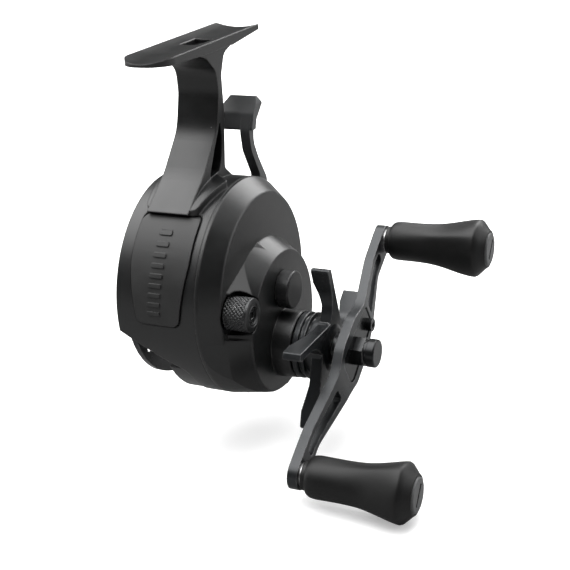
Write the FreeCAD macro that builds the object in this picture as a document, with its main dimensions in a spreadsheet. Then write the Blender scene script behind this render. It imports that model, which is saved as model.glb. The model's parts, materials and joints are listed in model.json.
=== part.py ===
import FreeCAD, Part
import math
import os

import Sketcher

# Trigger reel, in millimetres.
# Frame: +X runs along the spool axis towards the handle, +Y points forward along the rod,
# +Z points up to the reel foot. The origin is on the spool axis, under the middle of the foot.

os.makedirs("parts", exist_ok=True)
doc = FreeCAD.newDocument("TriggerReel")

# ---------------------------------------------------------------------------------------------
# Driving dimensions
# ---------------------------------------------------------------------------------------------

DRIVING = {
    "drum_radius": 32.0, "drum_wall": 2.2, "drum_far": -12.1, "seam": 12.6,
    "web_near": 6.3, "web_thickness": 2.0,
    "foot_length": 58.0, "foot_width": 14.4, "foot_top": 71.2, "foot_rear_edge": 2.0,
    "foot_front_edge": 1.6, "foot_front": 31.0, "rod_seat_radius": 23.0, "stem_width": 13.0,
    "cover_flat": 18.7, "cover_flat_radius": 27.8, "cover_wall": 2.0,
    "gearbox_flat": 24.5, "gearbox_radius": 21.1, "gearbox_drop": 10.2,
    "neck_radius": 10.0, "neck_end": 30.3,
    "gear_module": 0.6, "wheel_teeth": 40.0, "pinion_teeth": 16.0, "gear_backlash": 0.15,
    "gear_thickness": 2.8, "gear_near": 11.7,
    "spool_flange_radius": 28.8, "spool_far": -11.4, "spool_near": 5.2, "arbor_radius": 19.0,
    "spool_shaft_radius": 2.0, "drive_shaft_radius": 3.0,
    "dial_radius": 4.9, "dial_face": 25.6, "dial_offset": 21.7,
    "cap_radius": 5.6, "cap_face": 28.6,
    "star_radius": 24.6, "star_near": 34.5, "star_far": 39.9, "star_hub_radius": 8.4,
    "crank_reach": 41.35, "crank_turn": 32.0, "crank_hub_near": 44.1, "crank_thickness": 2.9,
    "crank_drop": 2.9, "knob_length": 33.0, "knob_flare_radius": 8.7, "knob_grip_radius": 5.8,
    "trigger_pivot_ahead": 15.0, "trigger_pivot_up": 21.2, "trigger_near": 8.8, "trigger_far": 11.8,
    "running_gap": 0.05,
}

sheet = doc.addObject("Spreadsheet::Sheet", "Sizes")
for row, (alias, number) in enumerate(DRIVING.items(), start=1):
    sheet.set(f"A{row}", alias)
    sheet.set(f"B{row}", str(number))
    sheet.setAlias(f"B{row}", alias)
doc.recompute()


class Size:
    """A length or angle: its number now, and the sheet formula that keeps it bound."""

    def __init__(self, number, formula):
        self.number = number
        self.formula = formula

    def __add__(self, other):
        other = size(other)
        return Size(self.number + other.number, f"({self.formula} + {other.formula})")

    def __sub__(self, other):
        other = size(other)
        return Size(self.number - other.number, f"({self.formula} - {other.formula})")

    def __mul__(self, other):
        other = size(other)
        return Size(self.number * other.number, f"({self.formula} * {other.formula})")

    def __truediv__(self, other):
        other = size(other)
        return Size(self.number / other.number, f"({self.formula} / {other.formula})")

    def __radd__(self, other):
        return size(other) + self

    def __rsub__(self, other):
        return size(other) - self

    def __rmul__(self, other):
        return size(other) * self

    def __neg__(self):
        return Size(-self.number, f"(-1 * {self.formula})")

    def __float__(self):
        return float(self.number)


def size(value):
    """Turn a plain number into a Size, and leave a Size as it is."""
    if isinstance(value, Size):
        return value
    return Size(float(value), f"({float(value):.6g})")


def sheet_size(alias):
    """The named cell of the sheet as a Size."""
    return Size(DRIVING[alias], f"Sizes.{alias}")


def polar(radius, degrees):
    """The (y, z) point at a radius and an angle, measured from +Y towards +Z."""
    angle = math.radians(degrees)
    return size(radius) * math.cos(angle), size(radius) * math.sin(angle)


drum_radius = sheet_size("drum_radius")
drum_wall = sheet_size("drum_wall")
drum_inside = drum_radius - drum_wall
drum_far = sheet_size("drum_far")
seam = sheet_size("seam")
web_near = sheet_size("web_near")
web_far = web_near + sheet_size("web_thickness")
foot_top = sheet_size("foot_top")
foot_width = sheet_size("foot_width")
foot_front = sheet_size("foot_front")
foot_rear = foot_front - sheet_size("foot_length")
stem_width = sheet_size("stem_width")
cover_flat = sheet_size("cover_flat")
cover_wall = sheet_size("cover_wall")
gearbox_flat = sheet_size("gearbox_flat")
gearbox_radius = sheet_size("gearbox_radius")
gearbox_drop = sheet_size("gearbox_drop")
neck_radius = sheet_size("neck_radius")
neck_end = sheet_size("neck_end")
gear_module = sheet_size("gear_module")
gear_near = sheet_size("gear_near")
gear_far = gear_near + sheet_size("gear_thickness")
wheel_teeth = sheet_size("wheel_teeth")
pinion_teeth = sheet_size("pinion_teeth")
# The drive shaft sits below the spool axis by the gears' centre distance.
drive_drop = gear_module * (wheel_teeth + pinion_teeth) / 2 + sheet_size("gear_backlash")
drive_up = -drive_drop
shaft_radius = sheet_size("drive_shaft_radius")
spool_shaft_radius = sheet_size("spool_shaft_radius")
gap = sheet_size("running_gap")
# Half a tooth of turn puts a gap of the pinion on the gear's top tooth.
half_tooth = size(180.0) / pinion_teeth
dial_radius = sheet_size("dial_radius")
dial_face = sheet_size("dial_face")
dial_back = -sheet_size("dial_offset")
cap_radius = sheet_size("cap_radius")
cap_face = sheet_size("cap_face")
star_near = sheet_size("star_near")
star_far = sheet_size("star_far")
crank_reach = sheet_size("crank_reach")
crank_turn = sheet_size("crank_turn")
crank_hub_near = sheet_size("crank_hub_near")
crank_thickness = sheet_size("crank_thickness")
crank_hub_far = crank_hub_near + crank_thickness
crank_drop = sheet_size("crank_drop")
crank_end_near = crank_hub_near - crank_drop
crank_end_far = crank_hub_far - crank_drop
trigger_ahead = sheet_size("trigger_pivot_ahead")
trigger_up = sheet_size("trigger_pivot_up")

# Axes along X that several pieces share, as (y, z).
GUIDE_SPREAD = 10.5
GUIDE_UP = 2.0
DIAL_UP = 0.4
drive_axis = (0, drive_up)
gearbox_axis = (0, -gearbox_drop)
trigger_axis = (trigger_ahead, trigger_up)
dial_axis = (dial_back, DIAL_UP)
guide_axes = [(-GUIDE_SPREAD, GUIDE_UP), (GUIDE_SPREAD, GUIDE_UP)]
drive_origin = (0, 0, drive_up)

# Radii and stations along X that neighbouring pieces share.
BEARING_RADIUS = 4.0
INNER_BEARING_NEAR = 7.2
INNER_BEARING_FAR = 10.2
OUTER_BEARING_NEAR = 20.6
OUTER_BEARING_FAR = 23.6
BUSH_NEAR = 7.4
BUSH_FAR = 9.4
BUSH_RADIUS = 4.0
BUSH_BORE = 2.5
GUIDE_NEAR = 7.2
GUIDE_FAR = 20.8
GUIDE_RADIUS = 0.78
GUIDE_HOLE_RADIUS = 0.8
TRIGGER_PIN_RADIUS = 1.0
PLUNGER_RADIUS = 1.5
SHOE_RADIUS = 2.8
SHOE_FAR = 7.7
SCREW_CIRCLE = 26.4
SCREW_ANGLES = (22.0, 105.0, -38.0, -142.0)
SCREW_CORE = 1.2
SCREW_HEAD_RADIUS = 1.95

# ---------------------------------------------------------------------------------------------
# Building blocks
# ---------------------------------------------------------------------------------------------

nodes = []


def bind(item, name, value):
    """Set a property from a Size and keep it bound to the sheet."""
    item.setExpression(name, size(value).formula)


def place(item, at=(0, 0, 0), turn=None):
    """Put an object at a point, and turn it about the X axis if asked."""
    if turn is not None:
        item.Placement = FreeCAD.Placement(
            FreeCAD.Vector(0, 0, 0), FreeCAD.Rotation(FreeCAD.Vector(1, 0, 0), float(turn)))
        bind(item, "Placement.Rotation.Angle", turn)
    for axis, value in zip("xyz", at):
        bind(item, f"Placement.Base.{axis}", value)


def finish(item, label):
    """Give a finished sub-part its label and keep it for export."""
    item.Label = label
    nodes.append(item)
    return item


def origin_plane(body, role):
    """One of a body's own origin planes."""
    return next(feature for feature in body.Origin.OriginFeatures if feature.Role == role)


def draw_outline(sketch, corners):
    """Draw a closed outline. Each corner is (a, b) or (a, b, rounding radius)."""
    count = len(corners)
    points = [FreeCAD.Vector(float(corner[0]), float(corner[1]), 0) for corner in corners]
    rounding = [size(corner[2]) if len(corner) > 2 else size(0) for corner in corners]
    leave = []
    arrive = []
    arcs = {}
    for index in range(count):
        corner = points[index]
        back = (points[index - 1] - corner).normalize()
        ahead = (points[(index + 1) % count] - corner).normalize()
        radius = rounding[index].number
        if radius == 0:
            arrive.append(corner)
            leave.append(corner)
            continue
        half = back.getAngle(ahead) / 2
        reach = radius / math.tan(half)
        start = corner + back * reach
        end = corner + ahead * reach
        centre = corner + (back + ahead).normalize() * (radius / math.sin(half))
        middle = centre + (corner - centre).normalize() * radius
        arrive.append(start)
        leave.append(end)
        arcs[index] = Part.Arc(start, middle, end)
    lines = []
    for index in range(count):
        following = (index + 1) % count
        lines.append(sketch.addGeometry(Part.LineSegment(leave[index], arrive[following]), False))
    for index in range(count):
        before = lines[index - 1]
        after = lines[index]
        if index not in arcs:
            sketch.addConstraint(Sketcher.Constraint("Coincident", before, 2, after, 1))
            anchor, anchor_end = after, 1
        else:
            curve = arcs[index]
            arc = sketch.addGeometry(curve, False)
            starts_here = sketch.getPoint(arc, 1).distanceToPoint(arrive[index]) < 1e-6
            first, second = (1, 2) if starts_here else (2, 1)
            sketch.addConstraint(Sketcher.Constraint("Tangent", before, 2, arc, first))
            sketch.addConstraint(Sketcher.Constraint("Tangent", arc, second, after, 1))
            datum = sketch.addConstraint(Sketcher.Constraint("Radius", arc, rounding[index].number))
            sketch.setExpression(f"Constraints[{datum}]", rounding[index].formula)
            anchor = sketch.addGeometry(Part.Point(points[index]), True)
            anchor_end = 1
            sketch.addConstraint(Sketcher.Constraint("PointOnObject", anchor, 1, before))
            sketch.addConstraint(Sketcher.Constraint("PointOnObject", anchor, 1, after))
        for kind, value in (("DistanceX", corners[index][0]), ("DistanceY", corners[index][1])):
            value = size(value)
            datum = sketch.addConstraint(
                Sketcher.Constraint(kind, -1, 1, anchor, anchor_end, value.number))
            sketch.setExpression(f"Constraints[{datum}]", value.formula)


def draw_circle(sketch, centre, radius):
    """Draw a circle and bind its centre and radius."""
    radius = size(radius)
    middle = FreeCAD.Vector(float(centre[0]), float(centre[1]), 0)
    circle = sketch.addGeometry(Part.Circle(middle, FreeCAD.Vector(0, 0, 1), radius.number), False)
    datum = sketch.addConstraint(Sketcher.Constraint("Radius", circle, radius.number))
    sketch.setExpression(f"Constraints[{datum}]", radius.formula)
    for kind, value in zip(("DistanceX", "DistanceY"), centre):
        value = size(value)
        datum = sketch.addConstraint(Sketcher.Constraint(kind, -1, 1, circle, 3, value.number))
        sketch.setExpression(f"Constraints[{datum}]", value.formula)


def body_sketch(body, role, offset=0):
    """A sketch in a body, on one of its origin planes moved along its normal."""
    sketch = body.newObject("Sketcher::SketchObject", body.Name + "Sketch")
    sketch.AttachmentSupport = [(origin_plane(body, role), "")]
    sketch.MapMode = "FlatFace"
    bind(sketch, "AttachmentOffset.Base.z", offset)
    return sketch


def new_body(name):
    return doc.addObject("PartDesign::Body", name)


def revolve(body, profile, angle=360.0):
    """Add material to a body by turning an (x, radius) profile about its X axis."""
    sketch = body_sketch(body, "XY_Plane")
    draw_outline(sketch, profile)
    feature = body.newObject("PartDesign::Revolution", body.Name + "Revolution")
    feature.Profile = sketch
    feature.ReferenceAxis = (sketch, ["H_Axis"])
    bind(feature, "Angle", angle)
    return feature


def groove(body, profile):
    """Cut a ring out of a body: an (x, radius) profile turned about its X axis."""
    sketch = body_sketch(body, "XY_Plane")
    draw_outline(sketch, profile)
    feature = body.newObject("PartDesign::Groove", body.Name + "Groove")
    feature.Profile = sketch
    feature.ReferenceAxis = (sketch, ["H_Axis"])
    feature.Angle = 360.0
    return feature


def pad(body, draw, start, end, role="YZ_Plane"):
    """Add material to a body: a drawn sketch pushed from one height to another."""
    sketch = body_sketch(body, role, start)
    draw(sketch)
    feature = body.newObject("PartDesign::Pad", body.Name + "Pad")
    feature.Profile = sketch
    bind(feature, "Length", size(end) - start)
    return feature


def pocket(body, draw, start, end, role="YZ_Plane"):
    """Cut a drawn sketch out of a body between two heights along the plane's normal."""
    sketch = body_sketch(body, role, end)
    draw(sketch)
    feature = body.newObject("PartDesign::Pocket", body.Name + "Pocket")
    feature.Profile = sketch
    bind(feature, "Length", size(end) - start)
    return feature


def polar_copies(body, feature, count):
    """Repeat a feature evenly round the body's X axis."""
    pattern = body.newObject("PartDesign::PolarPattern", body.Name + "Pattern")
    pattern.Originals = [feature]
    pattern.Axis = (origin_plane(body, "X_Axis"), [""])
    pattern.Angle = 360.0
    pattern.Occurrences = count
    body.Tip = pattern
    return pattern


def turned(label, profile, at=(0, 0, 0)):
    """A round piece: an (x, radius) profile turned about the X axis, then placed."""
    body = new_body(label)
    revolve(body, profile)
    place(body, at)
    return finish(body, label)


def ring_profile(near, far, inner, outer, bevel=0.0):
    """The (x, radius) profile of a plain ring with bevelled outer corners."""
    if bevel == 0.0:
        return [(near, inner), (far, inner), (far, outer), (near, outer)]
    return [(near, inner), (far, inner), (far, outer - bevel), (far - bevel, outer),
            (near + bevel, outer), (near, outer - bevel)]


def disc_profile(near, far, outer, bevel=0.0):
    """The (x, radius) profile of a solid disc or rod with bevelled corners."""
    if bevel == 0.0:
        return [(near, 0), (far, 0), (far, outer), (near, outer)]
    return [(near, 0), (far, 0), (far, outer - bevel), (far - bevel, outer),
            (near + bevel, outer), (near, outer - bevel)]


def cylinder(near, far, radius, at=(0, 0)):
    """A plain cylinder along X, from near to far, centred at (y, z)."""
    item = doc.addObject("Part::Cylinder", "Rod")
    bind(item, "Radius", radius)
    bind(item, "Height", size(far) - near)
    item.Placement = FreeCAD.Placement(
        FreeCAD.Vector(0, 0, 0), FreeCAD.Rotation(FreeCAD.Vector(0, 1, 0), 90))
    for axis, value in zip("xyz", (near, at[0], at[1])):
        bind(item, f"Placement.Base.{axis}", value)
    return item


def cone(near, far, near_radius, far_radius, at=(0, 0)):
    """A plain cone along X, centred at (y, z)."""
    item = doc.addObject("Part::Cone", "Taper")
    bind(item, "Radius1", near_radius)
    bind(item, "Radius2", far_radius)
    bind(item, "Height", size(far) - near)
    item.Placement = FreeCAD.Placement(
        FreeCAD.Vector(0, 0, 0), FreeCAD.Rotation(FreeCAD.Vector(0, 1, 0), 90))
    for axis, value in zip("xyz", (near, at[0], at[1])):
        bind(item, f"Placement.Base.{axis}", value)
    return item


def box(low, high):
    """A plain box between two corners."""
    item = doc.addObject("Part::Box", "Block")
    for name, first, last in zip(("Length", "Width", "Height"), low, high):
        bind(item, name, size(last) - first)
    for axis, value in zip("xyz", low):
        bind(item, f"Placement.Base.{axis}", value)
    return item


def circle(x, radius, at=(0, 0)):
    """A bare circle about an axis along X, as an end of a loft."""
    item = doc.addObject("Part::Circle", "Ring")
    bind(item, "Radius", radius)
    item.Placement = FreeCAD.Placement(
        FreeCAD.Vector(0, 0, 0), FreeCAD.Rotation(FreeCAD.Vector(0, 1, 0), 90))
    for axis, value in zip("xyz", (x, at[0], at[1])):
        bind(item, f"Placement.Base.{axis}", value)
    return item


# Sketch planes for free-standing extrusions: the turn that carries the sketch's own axes there.
ALONG_X = FreeCAD.Rotation(FreeCAD.Vector(0, 1, 0), FreeCAD.Vector(0, 0, 1), FreeCAD.Vector(1, 0, 0))
ALONG_Y = FreeCAD.Rotation(FreeCAD.Vector(0, 0, 1), FreeCAD.Vector(1, 0, 0), FreeCAD.Vector(0, 1, 0))
ALONG_Z = FreeCAD.Rotation()


def prism(corners, start, end, direction="x"):
    """An outline pushed along one axis. It is drawn as (y, z), (z, x) or (x, y)."""
    turn = {"x": ALONG_X, "y": ALONG_Y, "z": ALONG_Z}[direction]
    sketch = doc.addObject("Sketcher::SketchObject", "Outline")
    sketch.Placement = FreeCAD.Placement(FreeCAD.Vector(0, 0, 0), turn)
    bind(sketch, f"Placement.Base.{direction}", start)
    draw_outline(sketch, corners)
    item = doc.addObject("Part::Extrusion", "Prism")
    item.Base = sketch
    item.DirMode = "Normal"
    item.Solid = True
    bind(item, "LengthFwd", size(end) - start)
    return item


def join(*items):
    result = doc.addObject("Part::MultiFuse", "Joined")
    result.Shapes = list(items)
    result.Refine = True
    return result


def cut(base, *tools):
    result = doc.addObject("Part::Cut", "Cut")
    result.Base = base
    result.Tool = tools[0] if len(tools) == 1 else join(*tools)
    result.Refine = True
    return result


def overlap(*items):
    result = doc.addObject("Part::MultiCommon", "Overlap")
    result.Shapes = list(items)
    result.Refine = True
    return result


def group(label, items):
    """Separate solids that share one node."""
    result = doc.addObject("Part::Compound", label)
    result.Links = items
    return finish(result, label)


# ---------------------------------------------------------------------------------------------
# Frame: the one-piece foot, stem, thumb cowl and gear tub
# ---------------------------------------------------------------------------------------------

PAD_FLOOR = drum_radius - 1.0
PAD_GAP = 0.3
PAD_PROUD = 0.5
RIB_COUNT = 9
RIB_PITCH = 2.6
RIB_LENGTH = 4.0
RIB_WIDTH = 1.1
RIB_HEIGHT = 0.3
STEM_WEB = 2.0
PEDESTAL_HEIGHT = 1.9
BOSS_WALL = 2.0
FRAME_SOCKET_RADIUS = 2.2


def thumb_pad_outline(clearance):
    """The pad seen from behind, as (x, z) corners, grown all round by a clearance."""
    left, right = -7.8 - clearance, 10.2 + clearance
    lower_left, lower_right = -5.4 - clearance, 7.6 + clearance
    top, bottom = 26.3 + clearance, -1.2 - clearance
    waist = 16.0
    return [(lower_left, bottom, 2.5), (lower_right, bottom, 2.5), (right, waist, 12.0),
            (right, top, 1.5), (left, top, 1.5), (left, waist, 12.0)]


def behind_axis(outline, start, end):
    """An (x, z) outline pushed along Y, drawn as the (z, x) that its sketch plane wants."""
    flipped = [(corner[1], corner[0]) + tuple(corner[2:]) for corner in outline]
    return prism(flipped, start, end, "y")


def stem_blank():
    """The leg between drum and foot, seen from the side, with its pointed window cut out."""
    half = stem_width / 2
    rear = [(-7.0, 68.6), (-2.2, 66.9, 3.0), (2.9, 62.4, 5.0), (3.3, 56.0, 8.0), (0.6, 45.8, 14.0),
            (-9.0, 35.3, 20.0), (-20.0, 27.4)]
    front = [(-12.0, 22.0), (12.0, 22.0), (8.6, 30.6), (4.0, 34.2, 2.0), (5.9, 50.0, 20.0),
             (5.9, 61.0, 6.0), (8.4, 66.6, 3.0), (15.0, 68.6)]
    blank = prism(rear + front, -half, half)
    window = [(3.1, 48.6, 0.4), (3.6, 44.0, 8.0), (2.2, 37.4, 8.0), (0.3, 34.2, 0.8),
              (-5.8, 33.6, 0.8), (-1.9, 40.6, 14.0)]
    # The window is a pocket in each side of the stem, with a thin web left between them.
    near_window = prism(window, STEM_WEB / 2, half + 1)
    far_window = prism(window, -half - 1, -STEM_WEB / 2)
    return cut(blank, near_window, far_window)


def foot_blank():
    """The foot: a thin plate with ramps under both ends and a saddle for the rod on top."""
    half = foot_width / 2
    rear_under = foot_top - sheet_size("foot_rear_edge")
    front_under = foot_top - sheet_size("foot_front_edge")
    side = prism([(foot_rear, rear_under), (-6.0, 68.4), (13.0, 68.1), (foot_front, front_under),
                  (foot_front, foot_top), (foot_rear, foot_top)], -half, half)
    plan = prism([(-half, foot_rear, 6.5), (half, foot_rear, 6.5), (half, foot_front, 0.8),
                  (-half, foot_front, 0.8)], 60.0, 75.0, "z")
    saddle_radius = sheet_size("rod_seat_radius")
    # The seat is a cylinder along Y that just touches both top edges of the foot.
    sag = saddle_radius.number - math.sqrt(saddle_radius.number ** 2 - half.number ** 2)
    seat = doc.addObject("Part::Cylinder", "RodSeat")
    bind(seat, "Radius", saddle_radius)
    bind(seat, "Height", 90.0)
    seat.Placement = FreeCAD.Placement(
        FreeCAD.Vector(0, 0, 0), FreeCAD.Rotation(FreeCAD.Vector(1, 0, 0), -90))
    bind(seat, "Placement.Base.y", -45.0)
    bind(seat, "Placement.Base.z", foot_top + saddle_radius - sag)
    hollow = box((-3.0, 0.5, 67.6), (3.0, 10.0, 75.0))
    return cut(overlap(side, plan), seat, hollow)


def make_frame():
    """The die-cast frame."""
    drum = cylinder(drum_far, seam, drum_radius)
    spool_well = cylinder(drum_far - 1, web_near, drum_inside)
    gear_well = cylinder(web_far, seam + 1, drum_inside)
    # Below a slanted line, and in front of the stem, the cowl is open so that line can leave.
    open_bottom = behind_axis([(drum_far - 1, -4.1), (web_near, -17.2, 5.0), (web_near, -40.0),
                               (drum_far - 1, -40.0)], -40.0, 40.0)
    open_front = prism([(5.0, -40.0), (40.0, -40.0), (40.0, 31.25), (0.0, 0.0), (5.0, -3.0)],
                       drum_far - 1, web_near)
    shell = cut(drum, spool_well, gear_well, open_bottom, open_front)
    pedestal_plan = prism([(-5.0, 0.0), (5.0, 0.0), (12.0, -5.6, 1.0), (8.3, -18.7, 2.0),
                           (-7.5, -18.7, 2.0), (-9.5, -5.6, 1.0)], 20.0, 40.0, "z")
    pedestal = overlap(cylinder(drum_far, seam, drum_radius + PEDESTAL_HEIGHT), pedestal_plan)
    # A short bar under the cowl's slanted edge stiffens the tub.
    guard = overlap(prism([polar(29.0, -149.0), polar(36.0, -149.0), polar(36.0, -122.0),
                           polar(29.0, -122.0)], 0.6, web_far),
                    cylinder(drum_far, seam, drum_radius - 0.3))
    solid = join(stem_blank(), foot_blank(), shell, pedestal, guard)
    # The stem, pedestal and guard reach into the drum: both wells are cut once more.
    solid = cut(solid, cylinder(drum_far - 1, web_near, drum_inside),
                cylinder(web_far, seam + 1, drum_inside))
    bearing_boss = cylinder(web_near, INNER_BEARING_FAR, BEARING_RADIUS + BOSS_WALL)
    bush_boss = cylinder(web_near, BUSH_FAR, BUSH_RADIUS + 1.2, drive_axis)
    sockets = [cylinder(web_far - 0.5, web_far + 0.9, FRAME_SOCKET_RADIUS, axis) for axis in guide_axes]
    solid = join(solid, bearing_boss, bush_boss, *sockets)
    bores = [
        cylinder(web_near - 1, INNER_BEARING_FAR + 1, BEARING_RADIUS - 0.8),
        cylinder(INNER_BEARING_NEAR, INNER_BEARING_FAR + 1, BEARING_RADIUS),
        cylinder(BUSH_NEAR, BUSH_FAR + 1, BUSH_RADIUS, drive_axis),
        cylinder(web_near - 1, web_far + 1, TRIGGER_PIN_RADIUS, trigger_axis),
        cylinder(web_near - 1, web_far + 1, PLUNGER_RADIUS + 0.1, dial_axis),
        cylinder(web_near - 1, SHOE_FAR + 0.1, SHOE_RADIUS + 0.3, dial_axis),
    ]
    bores += [cylinder(GUIDE_NEAR - 0.2, web_far + 1.5, GUIDE_HOLE_RADIUS, axis) for axis in guide_axes]
    for angle in SCREW_ANGLES:
        at = polar(SCREW_CIRCLE, angle)
        bores.append(cylinder(web_near - 1, web_far + 1, SCREW_CORE, at))
        bores.append(cylinder(web_near - 1, web_near + 0.9, SCREW_HEAD_RADIUS + 0.15, at))
    trigger_slot = prism([polar(27.0, 46.0), polar(37.0, 46.0), polar(37.0, 72.0), polar(27.0, 72.0)],
                         web_far, seam + 1)
    pad_seat = overlap(
        cut(cylinder(drum_far, seam, drum_radius + 4), cylinder(drum_far - 1, seam + 1, PAD_FLOOR)),
        behind_axis(thumb_pad_outline(PAD_GAP), -45.0, -5.0))
    return finish(cut(solid, trigger_slot, pad_seat, *bores), "frame")


def make_thumb_pad():
    """The soft pad let into the rear of the cowl, with a column of raised grip ribs."""
    skin = cut(cylinder(drum_far, seam, drum_radius + PAD_PROUD),
               cylinder(drum_far - 1, seam + 1, PAD_FLOOR))
    pad_body = overlap(skin, behind_axis(thumb_pad_outline(0.0), -45.0, -5.0))
    rib_skin = cut(cylinder(drum_far, seam, drum_radius + PAD_PROUD + RIB_HEIGHT),
                   cylinder(drum_far - 1, seam + 1, drum_radius + 0.2))
    ribs = []
    for index in range(RIB_COUNT):
        up = 1.6 + index * RIB_PITCH
        left = -1.9 + 1.0 * index / (RIB_COUNT - 1)
        ribs.append(behind_axis([(left, up, 0.4), (left + RIB_LENGTH, up, 0.4),
                                 (left + RIB_LENGTH, up + RIB_WIDTH, 0.4), (left, up + RIB_WIDTH, 0.4)],
                                -45.0, -5.0))
    return finish(join(pad_body, overlap(rib_skin, join(*ribs))), "thumb_pad")


make_frame()
make_thumb_pad()

# ---------------------------------------------------------------------------------------------
# Side cover
# ---------------------------------------------------------------------------------------------

GEARBOX_INSIDE_RADIUS = 17.4
POST_RADIUS = 2.6
NECK_BORE = 7.0
ONE_WAY_NEAR = 17.6
CAP_BOSS_HEIGHT = 2.0
CAP_BOSS_RADIUS = 4.4
TRIGGER_POST_NEAR = 12.2
DIAL_WELL_FLOOR = 17.6
CREASE_BEVEL = 5.2
TURRET_FLARE = 4.2
COVER_SOCKET_RADIUS = 2.0
POST_NEAR = 9.0


def gearbox_shoulder():
    """The faceted shoulder that rises from the cover's flat to the round gearbox flat."""
    base_x, top_x = cover_flat - 0.7, gearbox_flat
    corners = [(27.2, -1.5), (24.5, 3.5), (8.5, 12.2), (-3.0, 15.3), (-24.6, 7.7), (-25.4, -8.6),
               (-24.6, -19.2), (-14.0, -28.2), (0.0, -31.4), (14.0, -28.2), (24.0, -19.0),
               (27.2, -10.0)]
    base = doc.addObject("Sketcher::SketchObject", "ShoulderBase")
    top = doc.addObject("Sketcher::SketchObject", "ShoulderTop")
    for sketch, height in ((base, base_x), (top, top_x)):
        sketch.Placement = FreeCAD.Placement(FreeCAD.Vector(0, 0, 0), ALONG_X)
        bind(sketch, "Placement.Base.x", height)
    draw_outline(base, corners)
    rim = []
    for ahead, up in corners:
        facing = math.degrees(math.atan2(up + gearbox_drop.number, ahead))
        rim_ahead, rim_up = polar(gearbox_radius - 0.5, facing)
        rim.append((rim_ahead, rim_up - gearbox_drop))
    draw_outline(top, rim)
    shoulder = doc.addObject("Part::Loft", "Shoulder")
    shoulder.Sections = [base, top]
    shoulder.Solid = True
    shoulder.Ruled = True
    return shoulder


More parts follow.
